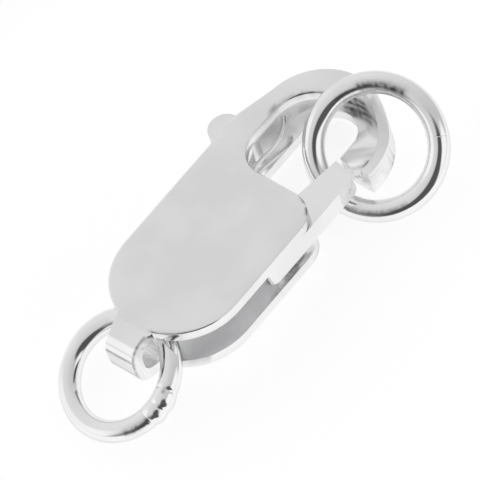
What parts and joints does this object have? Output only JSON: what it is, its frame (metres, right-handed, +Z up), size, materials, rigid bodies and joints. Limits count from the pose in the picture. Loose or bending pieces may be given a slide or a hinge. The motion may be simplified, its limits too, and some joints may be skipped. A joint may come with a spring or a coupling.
{
  "type": "lobster clasp",
  "caption": "Folded sheet-silver lobster clasp with a sprung lever as its gate, a jump ring in its hook and another in its tail loop.",
  "frame": {"origin": "middle of the bounding box's bottom, on the table under the clasp", "axes": "+Y along the clasp from the tail loop to the hook, +X towards the lever's gate, +Z up from the table"},
  "size_m": [0.0096, 0.0192, 0.0038],
  "materials": {
    "sheet_silver": "polished",
    "wire_silver": "polished",
    "steel": "satin"
  },
  "bodies": {
    "clasp_body": {"case": "sheet_silver", "pivot_pin": "steel", "spring": "steel", "hook_ring": "wire_silver", "tail_ring": "wire_silver"},
    "lever": {"lever": "sheet_silver"}
  },
  "joints": [
    {"name": "lever_pivot", "type": "hinge", "parent": "clasp_body", "child": "lever", "pos_m": [0.00079, 0.00163, 0.00189], "axis": [-0.0947, 0.0548, 0.994], "range_deg": [0, 14], "stiffness_Nm_per_rad": 0.01, "springref_deg": -17.19, "deforming": ["spring"]}
  ]
}
